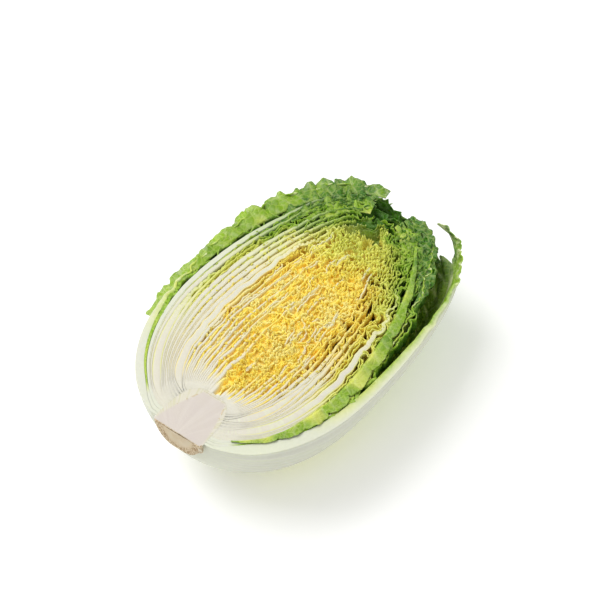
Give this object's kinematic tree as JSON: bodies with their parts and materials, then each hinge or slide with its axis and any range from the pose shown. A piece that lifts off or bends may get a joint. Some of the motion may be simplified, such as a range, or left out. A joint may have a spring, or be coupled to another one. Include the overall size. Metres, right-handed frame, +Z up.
{
  "type": "halved napa cabbage",
  "caption": "Half of a napa cabbage head, cut lengthwise and lying on its rounded back, with nested waved leaves around a crinkled heart and a blunt stem.",
  "frame": {"origin": "on the resting surface, under the middle of the half", "axes": "+X along the head's axis from the cut stem to the leaf tips, +Z up, square to the flat cut face"},
  "size_m": [0.2834, 0.1894, 0.087],
  "materials": {
    "stem_flesh": "moist cut flesh, pale ivory with a tan rim at the cut base",
    "heart_leaf": "satin, crinkled yellow leaf edges with amber creases",
    "inner_leaf": "satin, white ribs turning to yellow and pale green blades",
    "outer_leaf": "satin, white ribs and fresh green blistered blades"
  },
  "bodies": {
    "root": {"stem": "stem_flesh", "heart_leaves": "heart_leaf", "leaf_01": "inner_leaf", "leaf_02": "inner_leaf", "leaf_03": "inner_leaf", "leaf_04": "inner_leaf", "leaf_05": "inner_leaf", "leaf_06": "inner_leaf", "leaf_07": "inner_leaf", "leaf_08": "outer_leaf", "leaf_09": "outer_leaf", "leaf_10": "outer_leaf"}
  },
  "joints": []
}
